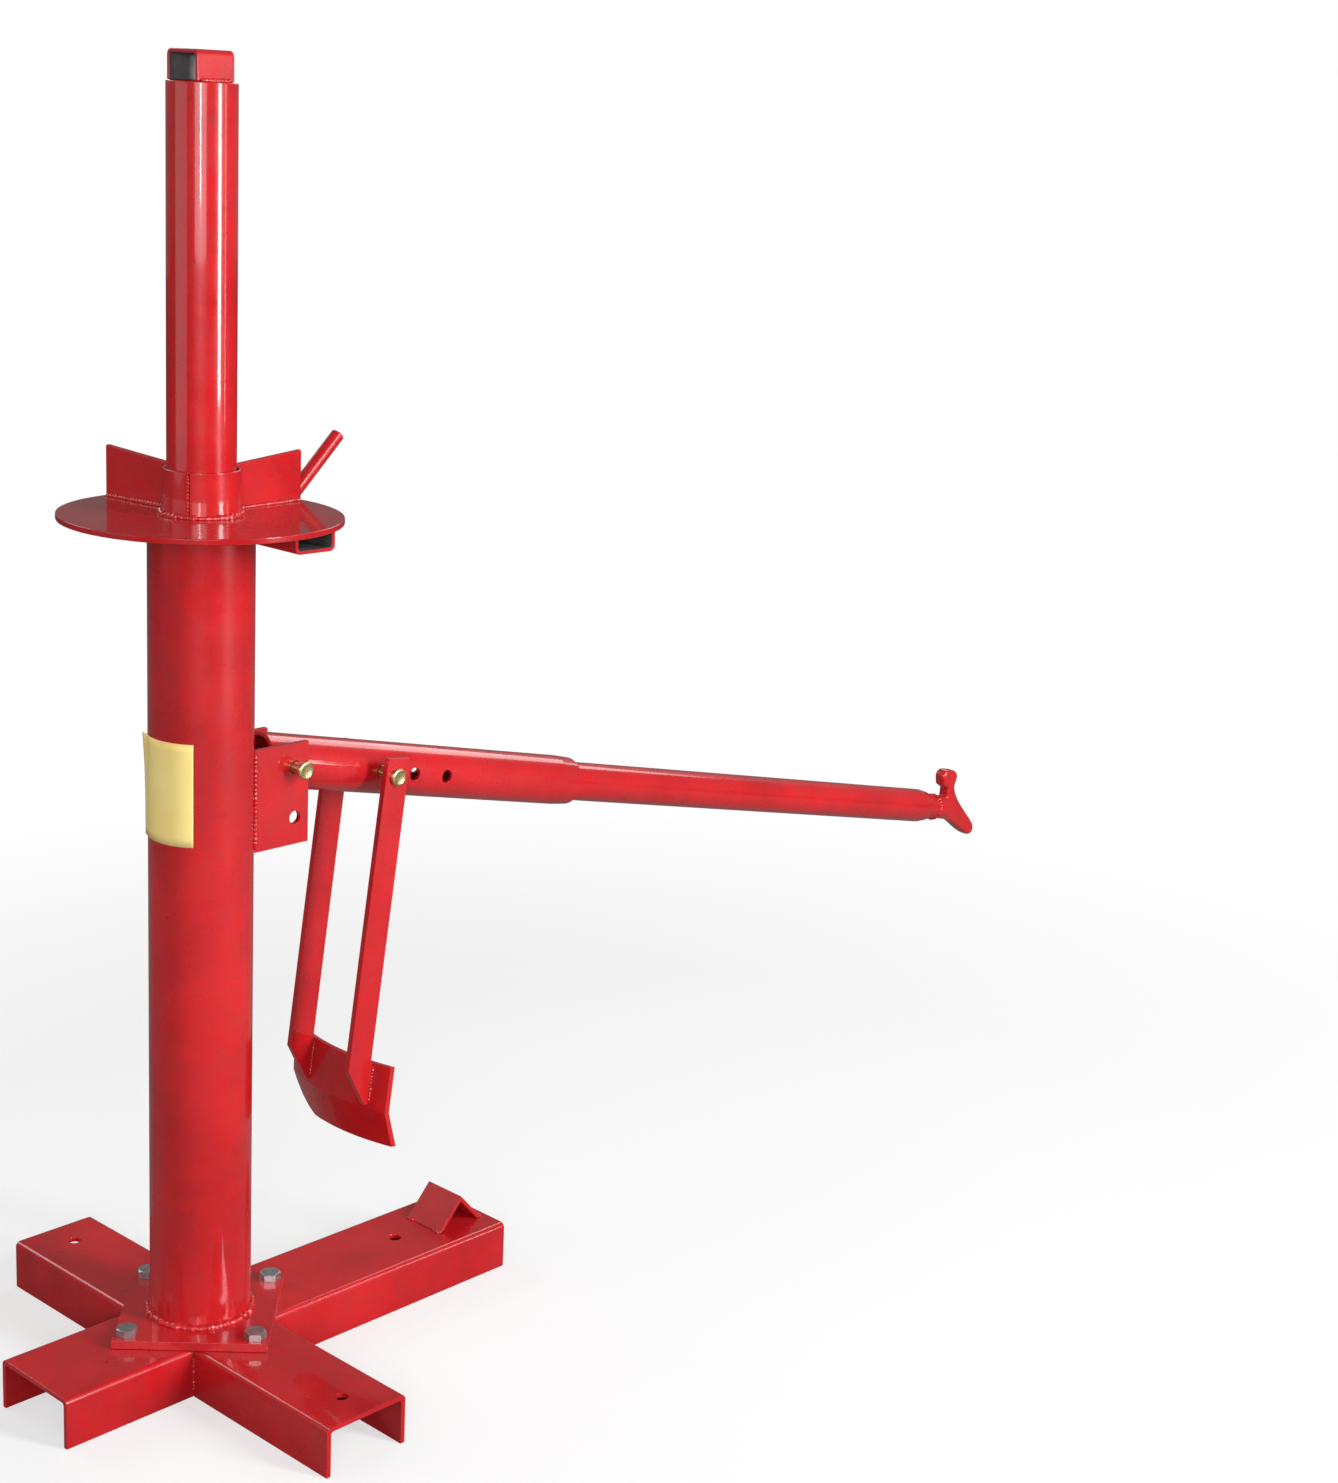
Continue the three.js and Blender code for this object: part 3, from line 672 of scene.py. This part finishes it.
def column_label():
    """Film wrapped on the column, its left edge lifting a little, most at the top corner."""
    bottom, top = low("column_label").z, high("column_label").z
    across, up = 40, 12
    loose = 0.14  # share of the width that has come unstuck
    bm = bmesh.new()
    grid = []
    for i in range(across + 1):
        share = i / across
        angle = LABEL_START + (LABEL_END - LABEL_START) * share
        column = []
        for k in range(up + 1):
            height = k / up
            curl = max(0.0, 1 - share / loose) ** 2 * (1.0 + 2.2 * height**3)
            radius = COLUMN_R + 0.5 * MM + 1.1 * MM * curl
            z = bottom + (top - bottom) * height
            column.append(bm.verts.new((radius * math.cos(angle), radius * math.sin(angle), z)))
        grid.append(column)
    bmesh.ops.translate(bm, verts=bm.verts, vec=(AXIS.x, AXIS.y, 0))
    for i in range(across):
        for k in range(up):
            bm.faces.new((grid[i][k], grid[i + 1][k], grid[i + 1][k + 1], grid[i][k + 1]))
    obj = add_object("column_label_film", mesh_from(bm, "column_label"), FILM, 60)
    thick = obj.modifiers.new("film", "SOLIDIFY")
    thick.thickness = 0.25 * MM
    thick.offset = 1
    attach(obj, "stand", "label_film", "column_label")


def bare_inside(obj, node):
    """Leaves the faces that look inward unpainted."""
    obj.data.materials.append(STEEL)
    middle = centre(node)
    for face in obj.data.polygons:
        spoke = face.center - middle
        if spoke.dot(face.normal) < 0:
            face.material_index = 1


def dress_everything():
    """Every node but those with a function of their own gets its own shape in its finish."""
    special = {"bar_head", "column_label", "lever_pin", "shoe_pin"}
    for node in NODES:
        if node in special or SLOT_OF[node] == "zinc_bolts":
            continue
        if SLOT_OF[node] == "spring_steel":
            wire_clip(node)
        elif node in ("mast_top_socket", "pin_guide_channel"):
            bare_inside(dress(node), node)
        elif node == "locking_pin":
            dress(node, material=RED_ROD)
        elif node.startswith("fin_"):
            dress(node, round_off=1.6)
        else:
            dress(node)


# ---- studio ----
def seen_by_camera(tree):
    """1 where the eye looks straight at a surface, 0 for light and reflections."""
    return tree.nodes.new("ShaderNodeLightPath").outputs["Is Camera Ray"]


def floor_material():
    """Pale to look at, fading into the white round it, and dull where the paint mirrors it."""
    material = bpy.data.materials.new("floor")
    material.use_nodes = True
    tree = material.node_tree
    tree.nodes.clear()
    dull = tree.nodes.new("ShaderNodeBsdfDiffuse")
    dull.inputs["Color"].default_value = (0.22, 0.22, 0.22, 1)
    pale = tree.nodes.new("ShaderNodeBsdfDiffuse")
    pale.inputs["Color"].default_value = (0.95, 0.95, 0.95, 1)
    white = tree.nodes.new("ShaderNodeEmission")
    coords = tree.nodes.new("ShaderNodeTexCoord")
    length = tree.nodes.new("ShaderNodeVectorMath")
    length.operation = "LENGTH"
    tree.links.new(coords.outputs["Object"], length.inputs[0])
    fade = tree.nodes.new("ShaderNodeMapRange")
    fade.inputs["From Min"].default_value = FADE_START
    fade.inputs["From Max"].default_value = FADE_END
    fade.inputs["To Min"].default_value = 0.6
    tree.links.new(length.outputs["Value"], fade.inputs["Value"])
    seen = mix_shaders(tree, fade.outputs["Result"], pale.outputs["BSDF"], white.outputs["Emission"])
    surface = mix_shaders(tree, seen_by_camera(tree), dull.outputs["BSDF"], seen)
    output = tree.nodes.new("ShaderNodeOutputMaterial")
    tree.links.new(surface, output.inputs["Surface"])
    return material


def mix_shaders(tree, factor, first, second):
    node = tree.nodes.new("ShaderNodeMixShader")
    tree.links.new(factor, node.inputs["Fac"])
    tree.links.new(first, node.inputs[1])
    tree.links.new(second, node.inputs[2])
    return node.outputs["Shader"]


def studio():
    """The floor, the surroundings and how the picture's tones are shown."""
    mesh = bpy.data.meshes.new("floor")
    reach = FLOOR_REACH
    corners = [(-reach, -reach, 0), (reach, -reach, 0), (reach, reach, 0), (-reach, reach, 0)]
    mesh.from_pydata(corners, [], [(0, 1, 2, 3)])
    mesh.materials.append(floor_material())
    floor = bpy.data.objects.new("floor", mesh)
    bpy.context.scene.collection.objects.link(floor)
    world = bpy.data.worlds.new("studio")
    bpy.context.scene.world = world
    world.use_nodes = True
    tree = world.node_tree
    background = tree.nodes["Background"]
    shade = ramp(tree, seen_by_camera(tree), [(0.0, grey(WORLD_LIGHT)), (1.0, grey(1.0))])
    tree.links.new(shade, background.inputs["Color"])
    bpy.context.scene.view_settings.view_transform = "Standard"


def softbox(name, place, height, size, power):
    """A soft light over place, pointed at the column."""
    light = bpy.data.lights.new(name, "AREA")
    light.shape = "RECTANGLE"
    light.size, light.size_y = size
    light.energy = power
    obj = bpy.data.objects.new(name, light)
    obj.location = (*place, height)
    aim = Vector((AXIS.x, AXIS.y, LIGHT_AIM))
    obj.rotation_euler = (aim - obj.location).to_track_quat("-Z", "Y").to_euler()
    bpy.context.scene.collection.objects.link(obj)


def lights():
    softbox("key", (0.6, -2.8), 1.5, (0.6, 2.2), 100)
    softbox("rim", (1.57, -2.19), 1.3, (0.1, 1.8), 6)
    softbox("strip", (-2.6, -2.4), 1.35, (0.2, 1.0), 18)
    softbox("front", (-2.6, -2.4), 1.5, (2.2, 1.6), 40)
    softbox("fill", (-3.3, 0.9), 1.1, (2.4, 1.6), 12)
    softbox("back_left", (-1.2, 2.8), 2.4, (1.6, 1.4), 22)
    softbox("back_right", (2.3, 0.9), 2.4, (1.6, 1.4), 20)


def camera():
    azimuth = math.radians(CAMERA_AZIMUTH)
    pitch = math.radians(CAMERA_PITCH)
    back = Vector((
        math.sin(azimuth) * math.cos(pitch),
        -math.cos(azimuth) * math.cos(pitch),
        math.sin(pitch),
    ))
    right = Vector((math.cos(azimuth), math.sin(azimuth), 0))
    up = back.cross(right)
    turn = Matrix((right, up, back)).transposed().to_4x4()
    data = bpy.data.cameras.new("camera")
    data.sensor_fit = "HORIZONTAL"
    data.sensor_width = SENSOR
    data.lens = CAMERA_LENS
    obj = bpy.data.objects.new("camera", data)
    roll = Matrix.Rotation(math.radians(CAMERA_ROLL), 4, "Z")
    place = Vector((AXIS.x, AXIS.y, 0)) + Vector(CAMERA_FROM_COLUMN)
    obj.matrix_world = Matrix.Translation(place) @ turn @ roll
    bpy.context.scene.collection.objects.link(obj)
    bpy.context.scene.camera = obj


camera()
studio()
lights()
dress_everything()
base_fasteners()
turned_pin("lever_pin", PIVOT)
turned_pin("shoe_pin", SHOE_PIN)
bar_head()
column_label()
column_welds()
fin_welds()
bracket_welds()
base_welds()
chock_welds()
socket_welds()
shoe_welds()
guide_welds()
bar_welds()
